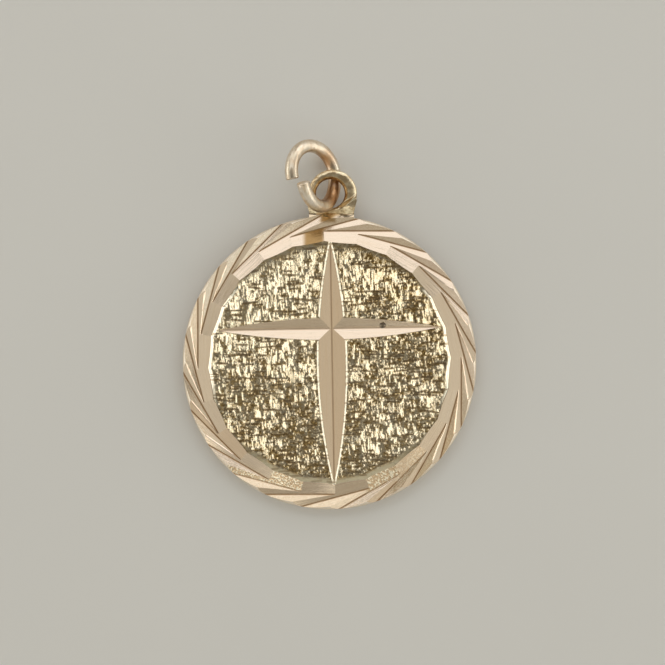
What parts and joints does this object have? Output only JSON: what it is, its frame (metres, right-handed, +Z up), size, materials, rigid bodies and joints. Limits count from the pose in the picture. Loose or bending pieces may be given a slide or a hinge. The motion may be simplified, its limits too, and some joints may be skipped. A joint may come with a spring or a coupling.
{
  "type": "cross pendant",
  "caption": "Round flat gold medal with an engraved pointed cross, a cut border, a small eye and an open jump ring, lying face up.",
  "frame": {"origin": "on the floor under the middle of the whole object's box", "axes": "+Z up, +Y from the foot of the cross towards the eye, +X to the right as the front is seen"},
  "size_m": [0.018, 0.0226, 0.0043],
  "materials": {
    "medal_gold": "bright wheel-cut border and cross, fine bark texture in the field, polished back",
    "ring_gold": "polished drawn wire, lightly worn"
  },
  "bodies": {
    "root": {"medal": "medal_gold", "jump_ring": "ring_gold"}
  },
  "joints": []
}
